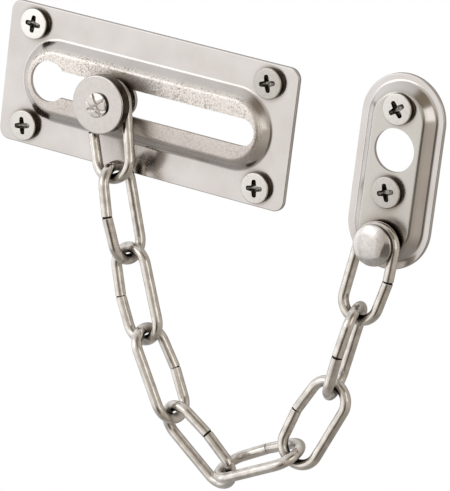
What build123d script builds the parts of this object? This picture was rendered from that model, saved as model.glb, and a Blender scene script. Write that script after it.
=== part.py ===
"""Surface-mounted door chain: a pressed track plate, a riveted slider, nine bent-wire links and an anchor plate.

Millimetres. X runs along the track, Z is up, and both plates are screwed to a surface at Y = 0 with their
fronts towards -Y. The origin is the middle of the track plate's four screws, on that surface.
"""
import math
import os

from build123d import *

# Pressed sheet
sheet = 1.2
edge_round = 0.35
press_round = 1.8

# Track plate
track_length = 100.0
track_height = 43.0
track_corner = 3.5
track_raise = 3.0
track_raise_length = 86.4
track_raise_height = 24.6
track_wall_run = 3.3
track_screw_span = 81.5
track_screw_rise = 31.4

# Keyhole in the track
slot_width = 8.2
slot_end = 39.0
entry_diameter = 12.4
entry_at = -32.6

# Anchor plate
anchor_at = 84.5
anchor_drop = 0.5
anchor_width = 26.5
anchor_length = 57.4
anchor_raise = 2.8
anchor_raise_width = 22.0
anchor_wall_run = 2.9
anchor_hole = 12.7
anchor_hole_rise = 6.8
anchor_screw_span = 24.4
rivet_edge = 8.4

# Screws, all alike
screw_hole = 4.6
screw_head = 9.2
screw_head_rim = 1.7
screw_head_crown = 0.5
screw_neck = 3.2
screw_thread = 4.0
screw_length = 15.0
screw_tip = 3.5
recess_length = 5.0
recess_width = 1.15
recess_depth = 1.3
recess_taper = 14
track_screw_turns = [12, -4, 8, 15]
anchor_screw_turns = [18, 38]

# Slider: a headed stud through the keyhole, riveted into a thick button
slider_at = -8.6
slider_sag = 0.3
slider_gap = 5.8
stud_neck = 7.0
stud_head = 11.2
stud_head_thickness = 1.2
stud_head_gap = 1.2
stud_tenon = 5.0
tenon_fit = 0.05
button_diameter = 17.6
button_thickness = 4.0
button_round = 0.5
peen_diameter = 7.4
peen_height = 1.4
stake_width = 0.6
stake_depth = 0.35

# Rivet that carries the chain's far end
rivet_gap = 4.8
rivet_neck = 4.0
rivet_tenon = 3.2
rivet_head = 12.2
rivet_head_rim = 1.4
rivet_head_crown = 1.1
rivet_peen = 4.8
rivet_peen_height = 0.9

# Chain: links bent from round wire, butted at the middle of one leg
link_count = 9
wire = 3.2
link_inner_length = 24.9
link_inner_width = 8.5
seam_gap = 0.35
seam_bow = 0.8
stud_joint_gap = 0.35
rivet_joint_gap = 1.2
hook_slack = [0.6, 0.35, 0.35, 0.35, 0.85, 0.7, 0.35, 0.38]
hook_share = 0.5
hook_turns = [0, 0, 0, 17, -30, 31, -4, 0]
joint_outs = [9.9, 8.7, 9.3, 9.4, 8.7, 8.9, 7.6, 7.5]
hang_lean = 6.7
settle = [1.5, -1, 0.2, 0.5, 1.1, 3.4, 2.6, 1.9, -0.9]
link_rolls = [2, -80, 10, -80, 22, -70, 0, -80, -3]
seam_sides = [-1, -1, -1, 1, 1, 1, 1, -1, -1]

track_face = sheet + track_raise
anchor_face = sheet + anchor_raise
button_back = track_face + slider_gap
button_face = button_back + button_thickness
stud_head_front = track_raise - stud_head_gap
rivet_seat = anchor_face + rivet_gap
slot_radius = slot_width / 2
anchor_screw_rise = anchor_hole_rise - anchor_drop
rivet_drop = anchor_length / 2 - rivet_edge
wire_radius = wire / 2
bow_radius = (link_inner_width + wire) / 2
link_reach = (link_inner_length + wire) / 2
bow_centre = link_reach - bow_radius
screw_shank = screw_length - screw_tip

os.makedirs("parts", exist_ok=True)


def save(builder, name):
    builder.part.label = name
    export_step(builder.part, f"parts/{name}.step")


def hollow_inset(run, rise):
    """How far the pressing's inner wall stands inside its outer wall at the back of the sheet."""
    slope = run / rise
    return sheet * (math.hypot(1, slope) - slope)


def wall_angle(run, rise):
    return math.degrees(math.atan2(run, rise))


def foot_edges(plate, middle, length, height):
    """Edges where a pressing's wall meets the flat rim of its plate."""
    level = plate.edges().filter_by_position(Axis.Y, -sheet, -sheet)
    across = length / 2 + press_round
    up = height / 2 + press_round
    near = level.filter_by(lambda edge: abs((edge @ 0.5).X - middle[0]) < across)
    return near.filter_by(lambda edge: abs((edge @ 0.5).Z - middle[1]) < up)


# Track plate: flat rim, raised stadium with sloped walls, hollow behind, keyhole through the raised face
track_inset = hollow_inset(track_wall_run, track_raise)
track_taper = wall_angle(track_wall_run, track_raise)
with BuildPart() as track_plate:
    with BuildSketch(Plane.XZ):
        RectangleRounded(track_length, track_height, track_corner)
    extrude(amount=sheet)
    fillet(track_plate.faces().sort_by(Axis.Y)[0].edges(), edge_round)
    with BuildSketch(Plane.XZ.offset(sheet)):
        SlotOverall(track_raise_length, track_raise_height)
    extrude(amount=track_raise, taper=track_taper)
    fillet(track_plate.faces().sort_by(Axis.Y)[0].edges(), press_round)
    fillet(foot_edges(track_plate, (0, 0), track_raise_length, track_raise_height), press_round)
    with BuildSketch(Plane.XZ):
        SlotOverall(track_raise_length - 2 * track_inset, track_raise_height - 2 * track_inset)
    extrude(amount=track_raise, taper=track_taper, mode=Mode.SUBTRACT)
    with BuildSketch(Plane.XZ):
        with Locations((entry_at, 0)):
            Circle(entry_diameter / 2)
        with Locations(((entry_at + slot_end - slot_radius) / 2, 0)):
            SlotCenterToCenter(slot_end - slot_radius - entry_at, slot_width)
    extrude(amount=track_face, mode=Mode.SUBTRACT)
    with BuildSketch(Plane.XZ):
        with GridLocations(track_screw_span, track_screw_rise, 2, 2):
            Circle(screw_hole / 2)
    extrude(amount=sheet, mode=Mode.SUBTRACT)
save(track_plate, "track_plate")

# Anchor plate: upright stadium with a raised middle, a clearance hole and two screw holes
anchor_inset = hollow_inset(anchor_wall_run, anchor_raise)
anchor_taper = wall_angle(anchor_wall_run, anchor_raise)
anchor_raise_length = anchor_length - anchor_width + anchor_raise_width
anchor_middle = (anchor_at, -anchor_drop)
with BuildPart() as anchor_plate:
    with BuildSketch(Plane.XZ):
        with Locations(anchor_middle):
            SlotOverall(anchor_length, anchor_width, rotation=90)
    extrude(amount=sheet)
    fillet(anchor_plate.faces().sort_by(Axis.Y)[0].edges(), edge_round)
    with BuildSketch(Plane.XZ.offset(sheet)):
        with Locations(anchor_middle):
            SlotOverall(anchor_raise_length, anchor_raise_width, rotation=90)
    extrude(amount=anchor_raise, taper=anchor_taper)
    fillet(anchor_plate.faces().sort_by(Axis.Y)[0].edges(), press_round)
    fillet(foot_edges(anchor_plate, anchor_middle, anchor_raise_width, anchor_raise_length), press_round)
    with BuildSketch(Plane.XZ):
        with Locations(anchor_middle):
            SlotOverall(anchor_raise_length - 2 * anchor_inset, anchor_raise_width - 2 * anchor_inset, rotation=90)
    extrude(amount=anchor_raise, taper=anchor_taper, mode=Mode.SUBTRACT)
    with BuildSketch(Plane.XZ):
        with Locations((anchor_at, anchor_screw_rise)):
            Circle(anchor_hole / 2)
            with GridLocations(0, anchor_screw_span, 1, 2):
                Circle(screw_hole / 2)
        with Locations((anchor_at, -anchor_drop - rivet_drop)):
            Circle(rivet_tenon / 2 + tenon_fit)
    extrude(amount=anchor_face, mode=Mode.SUBTRACT)
save(anchor_plate, "anchor_plate")

# One pan-head screw, seat at Z = 0, head upwards
with BuildPart() as screw:
    with BuildSketch(Plane.XZ):
        with BuildLine():
            rim = Polyline(
                (0, -screw_length),
                (screw_thread / 2, -screw_shank),
                (screw_thread / 2, -sheet),
                (screw_neck / 2, -sheet),
                (screw_neck / 2, 0),
                (screw_head / 2, 0),
                (screw_head / 2, screw_head_rim),
            )
            crown = (0, screw_head_rim + screw_head_crown)
            TangentArc(crown, rim @ 1, tangent=(1, 0))
            Line(crown, rim @ 0)
        make_face()
    revolve(axis=Axis.Z)
    with BuildSketch(Plane.XY.offset(screw_head_rim + screw_head_crown)):
        Rectangle(recess_length, recess_width)
        Rectangle(recess_width, recess_length)
    extrude(amount=-recess_depth, taper=recess_taper, mode=Mode.SUBTRACT)

with BuildPart(Plane.XZ.offset(sheet)) as track_screws:
    with GridLocations(track_screw_span, track_screw_rise, 2, 2) as corners:
        places = list(corners.local_locations)
    for place, turn in zip(places, track_screw_turns):
        with Locations(place * Rotation(0, 0, turn)):
            add(screw.part)
save(track_screws, "track_screws")

with BuildPart(Plane.XZ.offset(anchor_face)) as anchor_screws:
    for side, turn in zip((-1, 1), anchor_screw_turns):
        height = anchor_screw_rise + side * anchor_screw_span / 2
        with Locations(Location((anchor_at, height, 0), (0, 0, turn))):
            add(screw.part)
save(anchor_screws, "anchor_screws")

# Slider stud: rear head behind the track, neck through the slot, tenon peened over the button
slider_axis = Plane(origin=(slider_at, 0, -slider_sag), x_dir=(1, 0, 0), z_dir=(0, -1, 0))
with BuildPart(slider_axis) as slider_stud:
    with BuildSketch(slider_axis.offset(stud_head_front - stud_head_thickness)):
        Circle(stud_head / 2)
    extrude(amount=stud_head_thickness)
    fillet(slider_stud.edges().filter_by(GeomType.CIRCLE).sort_by(Axis.Y)[-1], edge_round)
    with BuildSketch(slider_axis.offset(stud_head_front)):
        Circle(stud_neck / 2)
    extrude(amount=button_back - stud_head_front)
    with BuildSketch(slider_axis.offset(button_back)):
        Circle(stud_tenon / 2)
    extrude(amount=button_thickness)
    with BuildSketch(slider_axis.offset(button_face)):
        Circle(peen_diameter / 2)
    extrude(amount=peen_height)
    fillet(slider_stud.edges().filter_by(GeomType.CIRCLE).sort_by(Axis.Y)[0], peen_height / 2)
    with BuildSketch(slider_axis.offset(button_face + peen_height)):
        for angle in (20, 65, 110, 155):
            Rectangle(peen_diameter, stake_width, rotation=angle)
    extrude(amount=-stake_depth, mode=Mode.SUBTRACT)
save(slider_stud, "slider_stud")

# Slider button: thick washer gripped between the neck's shoulder and the peened end
with BuildPart(slider_axis) as slider_button:
    with BuildSketch(slider_axis.offset(button_back)):
        Circle(button_diameter / 2)
        Circle(stud_tenon / 2 + tenon_fit, mode=Mode.SUBTRACT)
    extrude(amount=button_thickness)
    rims = slider_button.edges().filter_by(GeomType.CIRCLE).group_by(SortBy.RADIUS)[-1]
    fillet(rims, button_round)
save(slider_button, "slider_button")

# Anchor rivet: domed head, neck for the last link, tenon peened behind the plate
rivet_axis = Plane(origin=(anchor_at, 0, -anchor_drop - rivet_drop), x_dir=(1, 0, 0), z_dir=(0, -1, 0))
rivet_section = Plane(origin=rivet_axis.origin, x_dir=(1, 0, 0), z_dir=(0, 0, 1))
with BuildPart() as anchor_rivet:
    with BuildSketch(rivet_section):
        with BuildLine():
            side = Polyline(
                (0, rivet_peen_height - anchor_raise),
                (rivet_peen / 2, rivet_peen_height - anchor_raise),
                (rivet_peen / 2, -anchor_raise),
                (rivet_tenon / 2, -anchor_raise),
                (rivet_tenon / 2, -anchor_face),
                (rivet_neck / 2, -anchor_face),
                (rivet_neck / 2, -rivet_seat),
                (rivet_head / 2, -rivet_seat),
                (rivet_head / 2, -rivet_seat - rivet_head_rim),
            )
            dome = (0, -rivet_seat - rivet_head_rim - rivet_head_crown)
            TangentArc(dome, side @ 1, tangent=(1, 0))
            Line(dome, side @ 0)
        make_face()
    revolve(axis=Axis(rivet_axis.origin, (0, 1, 0)))
save(anchor_rivet, "anchor_rivet")


def heading(angle, length):
    """Offset in the hanging plane, from X towards Z."""
    return Vector(length * math.cos(angle), 0, length * math.sin(angle))


def hook_heading(turns, n, other):
    """Direction in which a link hooks round its neighbour's bow."""
    return turns[n] + hook_share * (turns[other] - turns[n]) + math.radians(hook_turns[min(n, other)])


def link_run(turns, n):
    """A link's run between its pivots: hook at the near bow, bow centre to bow centre, hook at the far bow.

    Every second link hangs edge-on and pivots on its own bows; its neighbours hook round those bows.
    """
    level = math.cos(tilts[n])
    if n % 2:
        return [Vector(), heading(turns[n], 2 * link_reach * level), Vector()]
    before = turns[n] if n == 0 else hook_heading(turns, n, n - 1)
    after = turns[n] if n == link_count - 1 else hook_heading(turns, n, n + 1)
    return [heading(before, hooks[n]), heading(turns[n], 2 * bow_centre * level), heading(after, hooks[n + 1])]


def hang(across, up):
    """Directions of the links, in radians, as they hang between two points."""

    def directions(pull, lowest):
        lean = math.radians(hang_lean)
        return [math.atan(pull * (n + 0.5 - lowest)) + lean + math.radians(settle[n]) for n in range(link_count)]

    def miss(pull, lowest):
        turns = directions(pull, lowest)
        end = sum((sum(link_run(turns, n), Vector()) for n in range(link_count)), Vector())
        return end.X - across, end.Z - up

    pull, lowest, step = 1.4, 5.0, 1e-6
    for _ in range(40):
        ex, ez = miss(pull, lowest)
        px, pz = miss(pull + step, lowest)
        lx, lz = miss(pull, lowest + step)
        a, b, c, d = (px - ex) / step, (lx - ex) / step, (pz - ez) / step, (lz - ez) / step
        det = a * d - b * c
        pull = max(0.05, pull - max(-0.5, min(0.5, (d * ex - b * ez) / det)))
        lowest -= max(-0.5, min(0.5, (a * ez - c * ex) / det))
    return directions(pull, lowest)


# Pivots of the chain, from the stud's axis to the rivet's axis
hooks = [bow_radius - wire - slack for slack in hook_slack]
hooks.insert(0, bow_radius - wire_radius - stud_neck / 2 - stud_joint_gap)
hooks.append(bow_radius - wire_radius - rivet_neck / 2 - rivet_joint_gap)
outs = [track_face + slider_gap / 2] + joint_outs + [anchor_face + rivet_gap / 2]
spans = [2 * link_reach if n % 2 else 2 * bow_centre + hooks[n] + hooks[n + 1] for n in range(link_count)]
tilts = [math.asin((outs[n + 1] - outs[n]) / spans[n]) for n in range(link_count)]
turns = hang(anchor_at - slider_at, slider_sag - anchor_drop - rivet_drop)
joints = [Vector(slider_at, -outs[0], -slider_sag)]
middles = []
for n in range(link_count):
    near, between, far = link_run(turns, n)
    start = Vector(joints[n].X, 0, joints[n].Z)
    middles.append(start + near + between / 2 - Vector(0, (outs[n] + outs[n + 1]) / 2, 0))
    joints.append(start + near + between + far - Vector(0, outs[n + 1], 0))

# Half-legs beside the seam lean out to the butted ends, tangent to the bows
seam_height = bow_radius + seam_bow
lean_out = math.acos(bow_radius / math.hypot(bow_centre, seam_height)) - math.atan2(bow_centre, seam_height)
tangent_x = bow_centre + bow_radius * math.sin(lean_out)
tangent_y = bow_radius * math.cos(lean_out)
seam_half = seam_gap / 2
seam_y = seam_height - (seam_height - tangent_y) * seam_half / tangent_x

for n in range(link_count):
    along = heading(turns[n], math.cos(tilts[n])) - Vector(0, math.sin(tilts[n]), 0)
    flat = Vector(0, -1, 0).cross(along).normalized()
    front = along.cross(flat)
    roll = math.radians(link_rolls[n])
    across = (flat * math.cos(roll) + front * math.sin(roll)) * seam_sides[n]
    link_plane = Plane(origin=middles[n], x_dir=along, z_dir=along.cross(across))
    with BuildPart() as link:
        with BuildLine(link_plane) as bend:
            Line((seam_half, seam_y), (tangent_x, tangent_y))
            ThreePointArc((tangent_x, tangent_y), (link_reach, 0), (bow_centre, -bow_radius))
            Line((bow_centre, -bow_radius), (-bow_centre, -bow_radius))
            ThreePointArc((-bow_centre, -bow_radius), (-link_reach, 0), (-tangent_x, tangent_y))
            Line((-tangent_x, tangent_y), (-seam_half, seam_y))
        with BuildSketch(Plane(origin=bend.wire() @ 0, z_dir=bend.wire() % 0)):
            Circle(wire_radius)
        sweep(path=bend.wire())
    save(link, f"link_{n + 1}")
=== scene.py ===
import bmesh
import bpy
import math
import numpy as np
from mathutils import Matrix, Vector


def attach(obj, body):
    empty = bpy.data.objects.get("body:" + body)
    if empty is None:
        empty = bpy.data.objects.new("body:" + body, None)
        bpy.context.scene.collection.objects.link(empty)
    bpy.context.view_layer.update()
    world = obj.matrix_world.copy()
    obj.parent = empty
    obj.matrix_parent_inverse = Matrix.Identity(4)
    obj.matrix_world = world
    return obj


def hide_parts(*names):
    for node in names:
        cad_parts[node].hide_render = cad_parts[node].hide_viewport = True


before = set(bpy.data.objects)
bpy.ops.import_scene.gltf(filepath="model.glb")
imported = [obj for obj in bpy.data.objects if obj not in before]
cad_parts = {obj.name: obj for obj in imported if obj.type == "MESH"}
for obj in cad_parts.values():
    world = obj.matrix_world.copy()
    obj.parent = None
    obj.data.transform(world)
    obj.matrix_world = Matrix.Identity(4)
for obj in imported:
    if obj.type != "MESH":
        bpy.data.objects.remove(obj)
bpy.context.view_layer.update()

mm = 0.001
bumpDepth = 0.0003  # metres, the same for every finish
weldGap = 2e-6  # metres
smoothAngles = {"plate": 28, "link": 40, "screw": 34, "turned": 32}  # degrees
broadRange, spotRange = (0.3, 0.7), (0.35, 0.65)  # noise values between which a finish changes


# Materials
def newMaterial(name, color, roughness, metallic=1.0):
    mat = bpy.data.materials.new(name)
    mat.use_nodes = True
    bsdf = mat.node_tree.nodes["Principled BSDF"]
    bsdf.inputs["Base Color"].default_value = (*color, 1)
    bsdf.inputs["Roughness"].default_value = roughness
    bsdf.inputs["Metallic"].default_value = metallic
    return mat, bsdf


def addNode(mat, kind, **inputs):
    node = mat.node_tree.nodes.new(kind)
    for key, value in inputs.items():
        node.inputs[key].default_value = value
    return node


def wire(mat, a, b):
    mat.node_tree.links.new(a, b)


def noiseTexture(mat, coords, scale, detail=3.0, stretch=(1, 1, 1)):
    mapping = addNode(mat, "ShaderNodeMapping", Scale=stretch)
    wire(mat, coords, mapping.inputs["Vector"])
    tex = addNode(mat, "ShaderNodeTexNoise", Scale=scale, Detail=detail)
    wire(mat, mapping.outputs["Vector"], tex.inputs["Vector"])
    return tex.outputs["Fac"]


def ramp(mat, value, low, high, outLow=0.0, outHigh=1.0):
    node = addNode(mat, "ShaderNodeMapRange")
    for key, number in zip(("From Min", "From Max", "To Min", "To Max"), (low, high, outLow, outHigh)):
        node.inputs[key].default_value = number
    wire(mat, value, node.inputs["Value"])
    return node.outputs["Result"]


def math2(mat, operation, a, b):
    node = mat.node_tree.nodes.new("ShaderNodeMath")
    node.operation = operation
    for socket, value in zip(node.inputs, (a, b)):
        if isinstance(value, (int, float)):
            socket.default_value = value
        else:
            wire(mat, value, socket)
    return node.outputs[0]


def blend(mat, value, first, second):
    # two colours, each a plain colour or another node's output, mixed by a value
    node = mat.node_tree.nodes.new("ShaderNodeMix")
    node.data_type = "RGBA"
    for key, color in (("A", first), ("B", second)):
        if isinstance(color, tuple):
            node.inputs[key].default_value = (*color, 1)
        else:
            wire(mat, color, node.inputs[key])
    wire(mat, value, node.inputs["Factor"])
    return node.outputs["Result"]


def bump(mat, bsdf, height, strength):
    node = addNode(mat, "ShaderNodeBump", Strength=strength, Distance=bumpDepth)
    wire(mat, height, node.inputs["Height"])
    wire(mat, node.outputs["Normal"], bsdf.inputs["Normal"])


def coordsOf(mat, output="Object"):
    return mat.node_tree.nodes.new("ShaderNodeTexCoord").outputs[output]


def withPaintedShade(mat, color, look):
    # painted shade: a colour that darkens where other surfaces come close, standing for the contact shadow
    # between parts
    close = addNode(mat, "ShaderNodeAmbientOcclusion", Distance=look["paintedShadeReach"])
    close.samples = 8
    return blend(mat, ramp(mat, close.outputs["AO"], *look["paintedShadeRange"]), look["paintedShade"], color)


# pressed sheet: lengths in metres, noise scales per metre
plateLook = {
    "flat": (0.705, 0.682, 0.674), "stained": (0.655, 0.625, 0.614), "pit": (0.34, 0.30, 0.265),
    "rough": (0.16, 0.24), "roughPitted": 0.20,
    "faceDepth": 0.0028, "faceEdge": 0.0008, "upperFrom": 0.006,
    "grainScale": 2300, "streakScale": 900, "broadScale": 60, "patchScale": 140, "mottleScale": 95,
    "streakStretch": (0.12, 1, 1), "pitRange": (0.54, 0.34), "patchRange": (0.35, 0.62),
    "mottleRange": (0.34, 0.62), "leastPits": 0.4, "lowerShare": 0.5,
    "bump": 0.22, "grainRelief": 0.06, "streakRelief": 0.08,
    # painted shade near other parts: its brown tone, reach in metres and ambient occlusion range
    "paintedShade": (0.13, 0.085, 0.042), "paintedShadeReach": 0.011, "paintedShadeRange": (0.38, 0.84),
}


def plateMaterial(name, bare, low, pitted):
    look = plateLook
    mat, bsdf = newMaterial(name, look["flat"], 0.3)
    here = coordsOf(mat)
    axes = mat.node_tree.nodes.new("ShaderNodeSeparateXYZ")
    wire(mat, here, axes.inputs[0])
    raised = ramp(mat, axes.outputs["Y"], -look["faceDepth"], -look["faceDepth"] - look["faceEdge"])
    upper = ramp(mat, axes.outputs["Z"], -look["upperFrom"], look["upperFrom"])
    grain = noiseTexture(mat, here, look["grainScale"], 2.0)
    streaks = noiseTexture(mat, here, look["streakScale"], 4.0, look["streakStretch"])
    broad = noiseTexture(mat, here, look["broadScale"])
    dull = math2(mat, "MULTIPLY", raised, look["roughPitted"] * pitted)
    gloss = math2(mat, "ADD", ramp(mat, broad, *broadRange, *look["rough"]), dull)
    wire(mat, gloss, bsdf.inputs["Roughness"])
    # pits come in patches, half as many below the slot as above it
    patches = noiseTexture(mat, here, look["patchScale"], 2.0)
    patches = ramp(mat, patches, *look["patchRange"], look["leastPits"] * pitted, pitted)
    share = math2(mat, "MULTIPLY", upper, 1 - look["lowerShare"])
    patchy = math2(mat, "MULTIPLY", math2(mat, "ADD", share, look["lowerShare"]), patches)
    pits = math2(mat, "MULTIPLY", ramp(mat, grain, *look["pitRange"]), patchy)
    face = blend(mat, pits, blend(mat, upper, low, bare), look["pit"])
    mottled = ramp(mat, noiseTexture(mat, here, look["mottleScale"], 5.0), *look["mottleRange"])
    sheet = blend(mat, mottled, look["stained"], look["flat"])
    wire(mat, withPaintedShade(mat, blend(mat, raised, sheet, face), look), bsdf.inputs["Base Color"])
    relief = math2(mat, "ADD", math2(mat, "MULTIPLY", raised, patchy), look["grainRelief"])
    lines = math2(mat, "MULTIPLY", streaks, look["streakRelief"])
    bump(mat, bsdf, math2(mat, "ADD", math2(mat, "MULTIPLY", grain, relief), lines), look["bump"])
    return mat


turnedLook = {"broadScale": 180, "smoother": 0.8, "rougher": 1.25}


def turnedMaterial(name, light, dark, rough, scale, strength):
    look = turnedLook
    mat, bsdf = newMaterial(name, light, rough)
    here = coordsOf(mat)
    spots = noiseTexture(mat, here, scale)
    broad = noiseTexture(mat, here, look["broadScale"], 2.0)
    gloss = ramp(mat, broad, *broadRange, rough * look["smoother"], rough * look["rougher"])
    wire(mat, blend(mat, ramp(mat, spots, *spotRange), dark, light), bsdf.inputs["Base Color"])
    wire(mat, gloss, bsdf.inputs["Roughness"])
    bump(mat, bsdf, spots, strength)
    return mat


wireLook = {
    "worn": (0.64, 0.613, 0.578), "bright": (0.83, 0.80, 0.76), "rough": (0.07, 0.14), "bump": 0.12,
    "drawScale": 60, "drawStretch": (0.05, 1.0, 1), "wearScale": 420,
    # painted shade where links cross and touch: its dark tone, reach in metres and ambient occlusion range
    "paintedShade": (0.06, 0.045, 0.032), "paintedShadeReach": 0.0042, "paintedShadeRange": (0.36, 0.84),
}


def linkMaterial():
    look = wireLook
    mat, bsdf = newMaterial("linkWire", (0.64, 0.60, 0.57), 0.2)
    drawn = noiseTexture(mat, coordsOf(mat, "UV"), look["drawScale"], 3.0, look["drawStretch"])
    wear = noiseTexture(mat, coordsOf(mat), look["wearScale"])
    paint = blend(mat, ramp(mat, wear, *spotRange), look["worn"], look["bright"])
    wire(mat, withPaintedShade(mat, paint, look), bsdf.inputs["Base Color"])
    wire(mat, ramp(mat, wear, *broadRange, *look["rough"]), bsdf.inputs["Roughness"])
    bump(mat, bsdf, drawn, look["bump"])
    return mat


# plates: tone of the raised part above the slot, tone below it, share of pits
trackMat = plateMaterial("trackSteel", (0.90, 0.865, 0.835), (0.715, 0.675, 0.64), 1.0)
anchorMat = plateMaterial("anchorSteel", (0.605, 0.59, 0.56), (0.605, 0.59, 0.56), 0.15)
# turned pieces: light tone, dark tone, roughness, scale of the spots and their bump
buttonMat = turnedMaterial("buttonSteel", (0.665, 0.637, 0.626), (0.625, 0.595, 0.58), 0.15, 700, 0.02)
rivetMat = turnedMaterial("rivetSteel", (0.75, 0.725, 0.71), (0.64, 0.61, 0.59), 0.22, 900, 0.05)
screwMat = turnedMaterial("screwSteel", (0.75, 0.735, 0.715), (0.69, 0.67, 0.645), 0.20, 1700, 0.05)
# copies of the screw steel painted lighter and darker: painted highlight and painted shade for the light
# each head catches
litScrewMat = turnedMaterial("screwPaintedLit", (0.96, 0.95, 0.935), (0.90, 0.885, 0.86), 0.20, 1700, 0.04)
shadedScrewMat = turnedMaterial("screwPaintedShade", (0.60, 0.585, 0.555), (0.53, 0.51, 0.48), 0.24, 1700, 0.08)
# the cross recess is painted darker than the head's steel: painted shade in the hollow
recessShadeMat = turnedMaterial("recessPaintedShade", (0.42, 0.40, 0.375), (0.04, 0.034, 0.03), 0.14, 1100, 0.3)
# near-black side walls of the screw heads, button, stud end and rivet: painted shade for the dark
# reflections these walls show
shadedWallMat = turnedMaterial("turnedWallPaintedShade", (0.085, 0.066, 0.050), (0.05, 0.039, 0.030), 0.16, 900, 0.05)
# near-black plug in each link's seam: painted shade in the gap between the wire's ends
seamShadeMat, seamShader = newMaterial("seamPaintedShade", (0.012, 0.010, 0.008), 0.8, 0.0)
seamShader.inputs["Specular IOR Level"].default_value = 0.1
linkMat = linkMaterial()
print("stage: materials")


# Meshes
def addObject(name, mesh, mats, body, node):
    obj = bpy.data.objects.new(name, mesh)
    bpy.context.scene.collection.objects.link(obj)
    slotIndex = np.zeros(len(mesh.polygons), dtype=np.int32)
    mesh.polygons.foreach_get("material_index", slotIndex)  # clearing the slots sets it to 0
    mesh.materials.clear()
    for mat in mats:
        mesh.materials.append(mat)
    mesh.polygons.foreach_set("material_index", np.minimum(slotIndex, len(mats) - 1))
    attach(obj, body)
    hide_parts(node)


def smoothMesh(mesh, kind):
    mesh.shade_smooth()
    mesh.set_sharp_from_angle(angle=math.radians(smoothAngles[kind]))


def gridMesh(name, rings, capped=True, uv=None):
    # rings joined in order; the ends are capped, or the last ring joins the first
    count = len(rings[0])
    verts = [tuple(p) for ring in rings for p in ring]
    faces = []
    for i in range(len(rings) - 1 if capped else len(rings)):
        after = (i + 1) % len(rings)
        for j in range(count):
            k = (j + 1) % count
            faces.append((i * count + j, i * count + k, after * count + k, after * count + j))
    if capped:
        faces.append(tuple(reversed(range(count))))
        faces.append(tuple(range((len(rings) - 1) * count, len(rings) * count)))
    mesh = bpy.data.meshes.new(name)
    mesh.from_pydata(verts, [], faces)
    mesh.validate()
    if uv is not None:
        layer = mesh.uv_layers.new(name="run")
        for loop in mesh.loops:
            i, j = divmod(loop.vertex_index, count)
            layer.data[loop.index].uv = (uv[i], j / count)
    return mesh


def fixNormals(mesh):
    bm = bmesh.new()
    bm.from_mesh(mesh)
    bmesh.ops.remove_doubles(bm, verts=bm.verts, dist=weldGap)
    bmesh.ops.recalc_face_normals(bm, faces=bm.faces)
    bm.to_mesh(mesh)
    bm.free()


def outward(origin, turn=0.0):
    # local Z to the front, local X along the track, turned about the axis
    basis = Matrix(((1, 0, 0), (0, 0, -1), (0, 1, 0))).to_4x4()
    return Matrix.Translation(Vector(origin)) @ basis @ Matrix.Rotation(math.radians(turn), 4, "Z")


def markWalls(mesh, wall, slotIndex):
    # the upright outer faces of a turned piece get the near-black wall material, painted shade for the
    # dark reflections on their sides
    for face in mesh.polygons:
        outside = math.hypot(face.center.x, face.center.y) > wall["beyond"] * mm
        if outside and face.center.z > wall["above"] * mm and abs(face.normal.z) < wall["lean"]:
            face.material_index = slotIndex


# Plates: the pressed sheets themselves, welded and smoothed
def plateObject(node, name, mat):
    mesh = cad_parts[node].data.copy()
    mesh.name = name
    fixNormals(mesh)
    smoothMesh(mesh, "plate")
    addObject(name, mesh, (mat,), "plates", node)


plateObject("track_plate", "trackPlate", trackMat)
plateObject("anchor_plate", "anchorPlate", anchorMat)
print("stage: plates")

# Chain links: tubes along the measured loop of each CAD link, in mm
linkLook = {
    "count": 9, "radius": 1.6, "bow": 5.85, "reach": 14.05, "ease": 0.10, "core": 1.38,
    "seamOut": 0.8, "seamGap": 0.35, "seamBand": 0.4, "uvLength": 10,
    "around": 28, "seamSteps": 10, "bowSteps": 44, "legSteps": 8,
}


def linkFrame(node):
    # middle, long axis and seam-side axis of a CAD link, from its own surface
    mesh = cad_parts[node].data
    pts = np.array([v.co for v in mesh.vertices]) / mm
    mesh.calc_loop_triangles()
    tris = pts[np.array([t.vertices for t in mesh.loop_triangles])]
    area = np.linalg.norm(np.cross(tris[:, 1] - tris[:, 0], tris[:, 2] - tris[:, 0]), axis=1)
    mid = tris.mean(axis=1)
    centre = (mid * area[:, None]).sum(0) / area.sum()
    spread = ((mid - centre) * area[:, None]).T @ (mid - centre)
    order = np.linalg.eigh(spread)[1]
    normal, across, along = order[:, 0], order[:, 1], order[:, 2]
    rel = pts - centre
    x, y, z = rel @ along, rel @ across, rel @ normal
    midX, midZ = (x.min() + x.max()) / 2, (z.min() + z.max()) / 2
    if y[np.abs(x - midX) < linkLook["seamBand"]].mean() < 0:
        across, y = -across, -y
    halfWidth = linkLook["bow"] + linkLook["radius"]
    middle = centre + along * midX + normal * midZ + across * (y.min() + halfWidth)
    return middle, along, across


def linkPath():
    # centre line from one side of the seam to the other
    bow, reach = linkLook["bow"], linkLook["reach"]
    centre, high = reach - bow, bow + linkLook["seamOut"]
    lean = math.acos(bow / math.hypot(centre, high)) - math.atan2(centre, high)
    tx, ty = centre + bow * math.sin(lean), bow * math.cos(lean)
    gap = linkLook["seamGap"] / 2
    start = np.array((gap, high - (high - ty) * gap / tx))
    rise = np.array((tx, ty)) - start
    half = [start + rise * s for s in np.linspace(0, 1, linkLook["seamSteps"])[:-1]]
    for a in np.linspace(math.pi / 2 - lean, -math.pi / 2, linkLook["bowSteps"]):
        half.append(np.array((centre + bow * math.cos(a), bow * math.sin(a))))
    half += [np.array((s, -bow)) for s in np.linspace(centre, 0, linkLook["legSteps"])[1:]]
    return np.array(half + [np.array((-p[0], p[1])) for p in reversed(half[:-1])])


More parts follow.
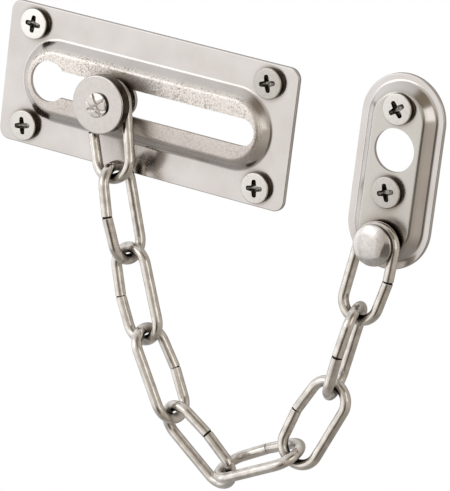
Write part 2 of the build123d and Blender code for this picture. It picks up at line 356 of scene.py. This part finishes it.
def linkMesh(name, node):
    middle, along, across = linkFrame(node)
    normal = np.cross(along, across)
    path = linkPath()
    ease = linkLook["ease"]
    tangents = np.gradient(path, axis=0)
    tangents /= np.linalg.norm(tangents, axis=1)[:, None]
    lengths = np.concatenate([[0], np.cumsum(np.linalg.norm(np.diff(path, axis=0), axis=1))])
    stations = [(path[0], tangents[0], linkLook["radius"] - ease, 0.0)]
    for p, t, run in zip(path, tangents, lengths):
        if run == 0:
            p = p + t * ease
        if run == lengths[-1]:
            p = p - t * ease
        stations.append((p, t, linkLook["radius"], run))
    stations.append((path[-1], tangents[-1], linkLook["radius"] - ease, lengths[-1]))

    def ringAt(p, t, radius):
        side = np.array((-t[1], t[0]))
        ring = []
        for a in np.linspace(0, 2 * math.pi, linkLook["around"], endpoint=False):
            flat = p + side * radius * math.cos(a)
            ring.append((middle + along * flat[0] + across * flat[1] + normal * radius * math.sin(a)) * mm)
        return ring

    def coreRing(p):
        return ringAt(p, np.array((1.0, 0.0)), linkLook["core"])

    rings = [ringAt(p, t, radius) for p, t, radius, run in stations]
    runs = [run / linkLook["uvLength"] for p, t, radius, run in stations]
    rings += [coreRing(path[-1]), coreRing(path[0])]
    runs += [runs[-1], 0.0]
    mesh = gridMesh(name, rings, False, runs)
    bm = bmesh.new()
    bm.from_mesh(mesh)
    bm.faces.ensure_lookup_table()
    # the near-black core between the wire's ends is painted shade in the seam gap
    for face in bm.faces[(len(stations) - 1) * linkLook["around"]:]:  # the dark bottom of the seam
        face.material_index = 1
    bmesh.ops.recalc_face_normals(bm, faces=bm.faces)
    bm.to_mesh(mesh)
    bm.free()
    smoothMesh(mesh, "link")
    return mesh


for n in range(1, linkLook["count"] + 1):
    node, name = f"link_{n}", f"linkWire{n}"
    addObject(name, linkMesh(name, node), (linkMat, seamShadeMat), node, node)
print("stage: links")

# Screws: pan head, cross recess, coarse wood thread, in mm
screwLook = {
    "head": 4.6, "rim": 1.9, "crown": 0.2, "edge": 0.3, "seatHeight": 0.16, "seatBevel": 0.12,
    "crownSteps": 9, "edgeSteps": 7, "around": 48, "wall": {"lean": 0.35, "above": 0.0, "beyond": 4.3},
    "neck": 1.6, "neckLength": 1.2, "length": 15.0, "tip": 3.5,
    "crest": 1.98, "root": 1.35, "pitch": 1.7, "ridge": 0.30, "runIn": 1.2,
    "threadFrom": 0.1, "threadStep": 0.13, "pointGap": 0.05,
    "recessLength": 5.2, "recessWidth": 1.35, "recessTip": 0.3, "recessBlunt": 0.45, "recessCorner": 1.25,
    "recessLevels": ((0.3, 1.06), (-0.25, 1.0), (-1.7, 0.50)),  # height over the crown, share of the width
}


def headProfile(look):
    sag, half, ease = look["crown"], look["head"], look["edge"]
    dome = (half * half + sag * sag) / (2 * sag)
    top = look["rim"] + sag
    points = []
    for t in np.linspace(0.0, half - ease, look["crownSteps"]):
        points.append((t, top - dome + math.sqrt(dome * dome - t * t)))
    high = points[-1][1]
    for a in np.linspace(0, math.pi / 2, look["edgeSteps"])[1:]:
        points.append((half - ease + ease * math.sin(a), high - ease + ease * math.cos(a)))
    return points + [(half, look["seatHeight"]), (half - look["seatBevel"], 0.0)]


def threadRadius(look, z, angle):
    depth = -z - look["neckLength"]
    straight = look["length"] - look["tip"]
    body = 1.0 if -z < straight else max(0.0, (look["length"] + z) / look["tip"])
    fade = min(1.0, max(0.0, depth / look["runIn"]))
    phase = (depth / look["pitch"] - angle / (2 * math.pi)) % 1.0
    ridge = max(0.0, 1 - abs(phase - 0.5) / look["ridge"])
    root = look["neck"] + (look["root"] - look["neck"]) * fade
    return body * (root + (look["crest"] - root) * ridge * fade)


def screwMesh(name):
    look = screwLook
    angles = np.linspace(0, 2 * math.pi, look["around"], endpoint=False)

    def ringAt(z, radii):
        return [(r * math.cos(a) * mm, r * math.sin(a) * mm, z * mm) for r, a in zip(radii, angles)]

    neck = [(look["neck"], 0.0), (look["neck"], -look["neckLength"])]
    rings = [ringAt(z, [r] * len(angles)) for r, z in headProfile(look)[1:] + neck]
    first, last = -look["neckLength"] - look["threadFrom"], -look["length"] + look["pointGap"]
    for z in np.arange(first, last, -look["threadStep"]):
        rings.append(ringAt(z, [threadRadius(look, z, a) for a in angles]))
    mesh = gridMesh(name, rings)
    fixNormals(mesh)
    return mesh


def crossCutter():
    look = screwLook
    top = look["rim"] + look["crown"]
    half, wide = look["recessLength"] / 2, look["recessWidth"] / 2
    blunt, corner, tip = wide * look["recessBlunt"], wide * look["recessCorner"], half - look["recessTip"]
    arm = ((tip, -wide), (half, -blunt), (half, blunt), (tip, wide), (corner, corner))
    outline = []
    for quarter in range(4):
        c, s = math.cos(quarter * math.pi / 2), math.sin(quarter * math.pi / 2)
        outline += [(c * x - s * y, s * x + c * y) for x, y in arm]
    rings = []
    for level, scale in look["recessLevels"]:
        rings.append([(x * scale * mm, y * scale * mm, (top + level) * mm) for x, y in outline])
    mesh = gridMesh("crossCutter", rings)
    fixNormals(mesh)
    return bpy.data.objects.new("crossCutter", mesh)


def cutScrew():
    blank = bpy.data.objects.new("screwBlank", screwMesh("screwBlank"))
    cutter = crossCutter()
    blank.data.materials.append(screwMat)
    cutter.data.materials.append(recessShadeMat)
    for obj in (blank, cutter):
        bpy.context.scene.collection.objects.link(obj)
    cut = blank.modifiers.new("recess", "BOOLEAN")
    cut.operation = "DIFFERENCE"
    cut.solver = "EXACT"
    cut.material_mode = "TRANSFER"
    cut.object = cutter
    depsgraph = bpy.context.evaluated_depsgraph_get()
    mesh = bpy.data.meshes.new_from_object(blank.evaluated_get(depsgraph))
    mesh.name = "screw"
    for obj in (blank, cutter):
        bpy.data.objects.remove(obj)
    smoothMesh(mesh, "screw")
    markWalls(mesh, screwLook["wall"], 2)
    return mesh


def joined(name, mesh, places):
    # each place gives a position and the material slot of that screw's head: plain steel, or a copy
    # painted lighter or darker
    bm = bmesh.new()
    for place, slotIndex in places:
        piece = mesh.copy()
        piece.transform(place)
        for face in piece.polygons:
            if face.material_index == 0:
                face.material_index = slotIndex
        bm.from_mesh(piece)
        bpy.data.meshes.remove(piece)
    out = bpy.data.meshes.new(name)
    bm.to_mesh(out)
    bm.free()
    smoothMesh(out, "screw")
    return out


# turn of each recess in degrees and material slot of each head, by side; slots count in screwMats, where 3
# is a copy with painted highlight and 4 a copy with painted shade
trackScrews = {
    "spanX": 81.5, "spanZ": 31.4, "seat": 1.2,
    "turns": {(-1, -1): 12, (-1, 1): -4, (1, -1): 8, (1, 1): 15},
    "slotIndex": {(-1, -1): 0, (-1, 1): 3, (1, -1): 0, (1, 1): 4},
}
anchorScrews = {
    "x": 84.5, "z": 6.3, "span": 24.4, "seat": 4.0,
    "turns": {-1: 18, 1: 38}, "slotIndex": {-1: 4, 1: 0},
}
screwMats = (screwMat, recessShadeMat, shadedWallMat, litScrewMat, shadedScrewMat)
screw = cutScrew()
places = []
for (sx, sz), turn in trackScrews["turns"].items():
    x, z = sx * trackScrews["spanX"] / 2 * mm, sz * trackScrews["spanZ"] / 2 * mm
    spot = (x, -trackScrews["seat"] * mm, z)
    places.append((outward(spot, turn), trackScrews["slotIndex"][sx, sz]))
screwSet = joined("trackScrewSet", screw, places)
addObject("trackScrewSet", screwSet, screwMats, "plates", "track_screws")
places = []
for sz, turn in anchorScrews["turns"].items():
    height = anchorScrews["z"] + sz * anchorScrews["span"] / 2
    spot = (anchorScrews["x"] * mm, -anchorScrews["seat"] * mm, height * mm)
    places.append((outward(spot, turn), anchorScrews["slotIndex"][sz]))
screwSet = joined("anchorScrewSet", screw, places)
addObject("anchorScrewSet", screwSet, screwMats, "plates", "anchor_screws")
print("stage: screws")


# Turned pieces, profiles from the wall outwards, in mm
def roundProfile(points, ease, steps=5):
    out = [points[0]]
    for a, b, c in zip(points, points[1:], points[2:]):
        a, b, c = Vector(a), Vector(b), Vector(c)
        cut = min(ease, (b - a).length * 0.45, (c - b).length * 0.45)  # leaves part of each side straight
        p, q = b + (a - b).normalized() * cut, b + (c - b).normalized() * cut
        for s in np.linspace(0, 1, steps):
            out.append(tuple(p * (1 - s) ** 2 + b * 2 * s * (1 - s) + q * s * s))
    out.append(points[-1])
    return out


def latheMesh(name, profile, around, shape=None):
    rings = []
    for r, h in profile:
        ring = []
        for a in np.linspace(0, 2 * math.pi, around, endpoint=False):
            rr, hh = (r, h) if shape is None else shape(r, h, a)
            ring.append((rr * math.cos(a) * mm, rr * math.sin(a) * mm, hh * mm))
        rings.append(ring)
    mesh = gridMesh(name, rings)
    fixNormals(mesh)
    smoothMesh(mesh, "turned")
    return mesh


def pastLine(x, y, turn, reach):
    # how far a point lies past a line that stands at the given turn and reach
    t = math.radians(turn)
    return math.cos(t) * x + math.sin(t) * y - reach


axisGap = 0.05  # first radius of a turned profile, closed by a cap
# rim as inset, rise; stake grooves as turn, shift, depth; struck flats as turn, reach, slope;
# unevenness of the top and of the edge as depth, waves, shift
stud = {
    "x": -8.6, "z": -0.3, "headBack": 0.6, "headFront": 1.8, "head": 5.6, "neck": 3.5,
    "back": 10.0, "face": 14.0, "tenon": 2.5, "ease": 0.3, "around": 120,
    "peen": 3.7, "peenTop": 15.3, "peenSag": 0.15, "crownInset": 0.5, "crownSteps": 34,
    "peenWall": {"lean": 0.5, "above": 14.0, "beyond": 3.3},
    "struckFrom": 0.8, "struckFade": 0.4, "grooveHalf": 0.36,
    "rim": ((0.0, 0.82), (0.12, 1.03), (0.32, 1.14)),
    "grooves": ((38, 0.15, 0.42), (122, -0.35, 0.40), (8, -1.5, 0.30), (150, 1.25, 0.30)),
    "flats": ((20, 1.2, 0.10), (95, 1.6, 0.14), (170, 1.0, 0.08), (235, 1.8, 0.15), (300, 1.3, 0.12)),
    "topWaves": ((0.05, 3, 0.7), (0.04, 5, 0.0)), "edgeWaves": ((0.012, 2, 1.0), (0.01, 5, 0.0)),
}


def stake(r, h, a):
    # hammered end: a slight crown, stake marks, struck flats and an uneven edge
    if h < stud["face"] - 0.01:  # below the peened end
        return r, h
    x, y = r * math.cos(a), r * math.sin(a)
    dent = 0.0
    for turn, shift, depth in stud["grooves"]:
        off = abs(pastLine(x, y, turn + 90, shift))
        dent = max(dent, depth * max(0.0, 1 - off / stud["grooveHalf"]))
    dent += max(0.0, *(slope * pastLine(x, y, turn, reach) for turn, reach, slope in stud["flats"]))
    uneven = sum(depth * math.sin(waves * a + shift) for depth, waves, shift in stud["topWaves"])
    edge = 1.0
    for depth, waves, shift in stud["edgeWaves"]:
        edge -= depth * (1 + math.sin(waves * a + shift))
    struck = max(0.0, (h - stud["face"] - stud["struckFrom"]) / stud["struckFade"])
    return r * edge, min(stud["peenTop"], h + uneven * struck * r / stud["peen"]) - dent * struck


base = roundProfile([
    (axisGap, stud["headBack"]),
    (stud["head"], stud["headBack"]), (stud["head"], stud["headFront"]),
    (stud["neck"], stud["headFront"]), (stud["neck"], stud["back"]),
    (stud["tenon"], stud["back"]),
], stud["ease"])
rim = [(stud["tenon"], stud["face"]), (stud["peen"], stud["face"])]
rim += [(stud["peen"] - inset, stud["face"] + rise) for inset, rise in stud["rim"]]
crown = []
for s in np.linspace(stud["peen"] - stud["crownInset"], axisGap, stud["crownSteps"]):
    crown.append((s, stud["peenTop"] - stud["peenSag"] * (s / stud["peen"]) ** 2))
sliderSpot = outward((stud["x"] * mm, 0, stud["z"] * mm))
studMesh = latheMesh("sliderStud", base + rim + crown, stud["around"], stake)
markWalls(studMesh, stud["peenWall"], 1)
studMesh.transform(sliderSpot)
addObject("sliderStud", studMesh, (rivetMat, shadedWallMat), "slider", "slider_stud")

button = {
    "radius": 8.8, "bore": 2.55, "back": 10.0, "face": 14.0, "ease": 0.55, "easeSteps": 7, "around": 120,
    "wall": {"lean": 0.35, "above": 0.0, "beyond": 8.0},
}
disc = roundProfile([
    (button["bore"], button["back"]), (button["radius"], button["back"]),
    (button["radius"], button["face"]), (button["bore"], button["face"]),
], button["ease"], button["easeSteps"])
discMesh = latheMesh("sliderButton", disc, button["around"])
markWalls(discMesh, button["wall"], 1)
discMesh.transform(sliderSpot)
addObject("sliderButton", discMesh, (buttonMat, shadedWallMat), "slider", "slider_button")

# struck flats as turn, reach, slope
rivet = {
    "x": 84.5, "z": -20.8, "peenBack": 1.9, "peen": 2.4, "sheetBack": 2.8, "tenon": 1.6, "sheetFront": 4.0,
    "neck": 2.0, "seat": 8.8, "head": 6.1, "rim": 1.4, "crown": 1.1, "ease": 0.25, "around": 96,
    "rimDrop": 0.1, "domeShares": (0.97, 0.01), "domeSteps": 30,
    "wall": {"lean": 0.5, "above": 8.8, "beyond": 5.5},
    "flats": ((20, 4.6, 0.16), (82, 4.8, 0.10), (140, 4.4, 0.12), (205, 4.7, 0.10),
              (262, 4.3, 0.22), (292, 3.7, 0.20), (318, 4.2, 0.26), (345, 3.8, 0.18)),
    "struckBelow": 0.3, "deepest": 0.35,
}
rivetTop = rivet["seat"] + rivet["rim"]


def hammered(r, h, a):
    # flats left on the dome by the setting tool
    if h < rivetTop - rivet["struckBelow"]:
        return r, h
    x, y = r * math.cos(a), r * math.sin(a)
    lower = max(0.0, *(slope * pastLine(x, y, turn, reach) for turn, reach, slope in rivet["flats"]))
    return r, h - min(rivet["deepest"], lower)


ball = (rivet["head"] ** 2 + rivet["crown"] ** 2) / (2 * rivet["crown"])
dome = []
for s in np.linspace(*rivet["domeShares"], rivet["domeSteps"]):
    r = rivet["head"] * s
    dome.append((r, rivetTop + rivet["crown"] - ball + math.sqrt(ball**2 - r**2)))
stem = roundProfile([
    (axisGap, rivet["peenBack"]),
    (rivet["peen"], rivet["peenBack"]), (rivet["peen"], rivet["sheetBack"]),
    (rivet["tenon"], rivet["sheetBack"]), (rivet["tenon"], rivet["sheetFront"]),
    (rivet["neck"], rivet["sheetFront"]), (rivet["neck"], rivet["seat"]),
    (rivet["head"], rivet["seat"]), (rivet["head"], rivetTop - rivet["rimDrop"]),
], rivet["ease"])
rivetMesh = latheMesh("anchorRivet", stem + dome, rivet["around"], hammered)
markWalls(rivetMesh, rivet["wall"], 1)
rivetMesh.transform(outward((rivet["x"] * mm, 0, rivet["z"] * mm)))
addObject("anchorRivet", rivetMesh, (rivetMat, shadedWallMat), "plates", "anchor_rivet")
print("stage: turned pieces")

# Camera fitted to the photo: degrees, metres and pixels
view = {
    "azimuth": 29.14, "elevation": 15.84, "roll": 7.07, "distance": 1.075, "aim": (0.0318, 0.0, -0.0358),
    "focalPixels": 3666.8, "photoWidth": 450, "sensor": 36,
}
az, el, roll = (math.radians(view[k]) for k in ("azimuth", "elevation", "roll"))
back = Vector((math.sin(az) * math.cos(el), -math.cos(az) * math.cos(el), math.sin(el)))
right = Vector((math.cos(az), math.sin(az), 0))
up = back.cross(right)
turnedRight = right * math.cos(roll) + up * math.sin(roll)
turnedUp = up * math.cos(roll) - right * math.sin(roll)
camData = bpy.data.cameras.new("photoCamera")
camData.sensor_fit = "HORIZONTAL"
camData.sensor_width = view["sensor"]
camData.lens = view["focalPixels"] / view["photoWidth"] * view["sensor"]
camData.clip_start = 0.05
camData.clip_end = 20
cam = bpy.data.objects.new("photoCamera", camData)
axes = Matrix((turnedRight, turnedUp, back)).transposed().to_4x4()
cam.matrix_world = Matrix.Translation(Vector(view["aim"]) + back * view["distance"]) @ axes
bpy.context.scene.collection.objects.link(cam)
bpy.context.scene.camera = cam

# Studio: white to the camera; in the reflections a room that is light on the left, grey behind the plates,
# with a dark stand below the camera and a boom above it, each as direction, soft edge and tone
room = {
    "across": (-0.85, 0.25, 0.10), "acrossRange": (-0.65, 0.60),
    "right": (0.55, 0.495, 0.43), "left": (0.98, 0.965, 0.95),
    "behindRange": (0.50, 0.80), "wall": (0.42, 0.39, 0.36),
    "stand": ((0.34, -0.89, -0.30), (0.91, 0.975), (0.13, 0.11, 0.09)),
    "boom": ((0.40, -0.48, 0.78), (0.89, 0.97), (0.27, 0.22, 0.165)),
    "heights": ((0.03, 0.50), (0.16, 0.60), (0.36, 0.95), (0.72, 0.97), (0.95, 0.88)),
}
world = bpy.data.worlds.new("studio")
bpy.context.scene.world = world
world.use_nodes = True
tree = world.node_tree
tree.nodes.clear()
toward = tree.nodes.new("ShaderNodeTexCoord").outputs["Generated"]


def facing(direction, low, high):
    # how far the look goes along a direction: 0 at low, 1 at high
    along = tree.nodes.new("ShaderNodeVectorMath")
    along.operation = "DOT_PRODUCT"
    along.inputs[1].default_value = direction
    soft = tree.nodes.new("ShaderNodeMapRange")
    soft.inputs["From Min"].default_value = low
    soft.inputs["From Max"].default_value = high
    tree.links.new(toward, along.inputs[0])
    tree.links.new(along.outputs["Value"], soft.inputs["Value"])
    return soft.outputs["Result"]


def layTone(share, tone):
    # a tone laid over what the room has so far
    patch = tree.nodes.new("ShaderNodeMix")
    patch.data_type = "RGBA"
    patch.inputs["B"].default_value = (*tone, 1)
    tree.links.new(share, patch.inputs["Factor"])
    return patch


patch = layTone(facing(room["across"], *room["acrossRange"]), room["left"])
patch.inputs["A"].default_value = (*room["right"], 1)
layers = [(facing((0, 1, 0), *room["behindRange"]), room["wall"])]
for direction, edge, tone in (room["stand"], room["boom"]):
    layers.append((facing(Vector(direction).normalized(), *edge), tone))
for share, tone in layers:
    under = patch.outputs["Result"]
    patch = layTone(share, tone)
    tree.links.new(under, patch.inputs["A"])
levels = tree.nodes.new("ShaderNodeValToRGB")
steps = levels.color_ramp.elements
while len(steps) < len(room["heights"]):
    steps.new(0.5)
for step, (place, level) in zip(steps, room["heights"]):
    step.position = place
    step.color = (level, level, level, 1)
tree.links.new(facing((0, 0, 1), -1.0, 1.0), levels.inputs["Fac"])
roomSky = tree.nodes.new("ShaderNodeBackground")
tree.links.new(patch.outputs["Result"], roomSky.inputs["Color"])
tree.links.new(levels.outputs["Color"], roomSky.inputs["Strength"])
whiteSky = tree.nodes.new("ShaderNodeBackground")
whiteSky.inputs["Color"].default_value = (1, 1, 1, 1)
mix = tree.nodes.new("ShaderNodeMixShader")
rays = tree.nodes.new("ShaderNodeLightPath")
outNode = tree.nodes.new("ShaderNodeOutputWorld")
tree.links.new(rays.outputs["Is Camera Ray"], mix.inputs["Fac"])
tree.links.new(roomSky.outputs[0], mix.inputs[1])
tree.links.new(whiteSky.outputs[0], mix.inputs[2])
tree.links.new(mix.outputs[0], outNode.inputs["Surface"])

# plain pale floor well below the plates; in the reflections the room's own lower half stands for it
floorLook = {"height": -3.0, "half": 20.0, "color": (1, 1, 1)}
sides = ((-1, -1), (1, -1), (1, 1), (-1, 1))
corners = [(sx * floorLook["half"], sy * floorLook["half"], floorLook["height"]) for sx, sy in sides]
floorMesh = bpy.data.meshes.new("paleFloor")
floorMesh.from_pydata(corners, [], [(0, 1, 2, 3)])
floorMat, floorShader = newMaterial("paleFloor", (0, 0, 0), 1.0, 0.0)
floorShader.inputs["Specular IOR Level"].default_value = 0.0
floorShader.inputs["Emission Color"].default_value = (*floorLook["color"], 1)
floorShader.inputs["Emission Strength"].default_value = 1.0
floorMat.cycles.emission_sampling = "NONE"  # seen white, but no lamp
floorMesh.materials.append(floorMat)
floorObj = bpy.data.objects.new("paleFloor", floorMesh)
floorObj.visible_diffuse = floorObj.visible_glossy = floorObj.visible_shadow = False
bpy.context.scene.collection.objects.link(floorObj)

# lamps: place, width and height in metres, power in watts
lamps = {
    "keyLeft": ((-0.77, -1.48, -0.41), 1.0, 1.5, 1.3),
    "topStrip": ((-0.50, -0.78, 0.28), 0.7, 0.45, 0.9),
    "rightFill": ((0.845, -0.378, 0.264), 0.45, 0.50, 0.50),
    "leftFill": ((-0.90, -0.42, -0.25), 0.4, 0.9, 0.4),
}
lampAim = Vector((0.03, 0, -0.04))


def softbox(name, spot, width, height, power):
    lamp = bpy.data.lights.new(name, "AREA")
    lamp.shape = "RECTANGLE"
    lamp.size = width
    lamp.size_y = height
    lamp.energy = power
    obj = bpy.data.objects.new(name, lamp)
    turn = (lampAim - Vector(spot)).to_track_quat("-Z", "Y")
    obj.matrix_world = Matrix.Translation(Vector(spot)) @ turn.to_matrix().to_4x4()
    bpy.context.scene.collection.objects.link(obj)


for name, values in lamps.items():
    softbox(name, *values)
print("stage: studio")

bpy.context.scene.view_settings.view_transform = "Standard"
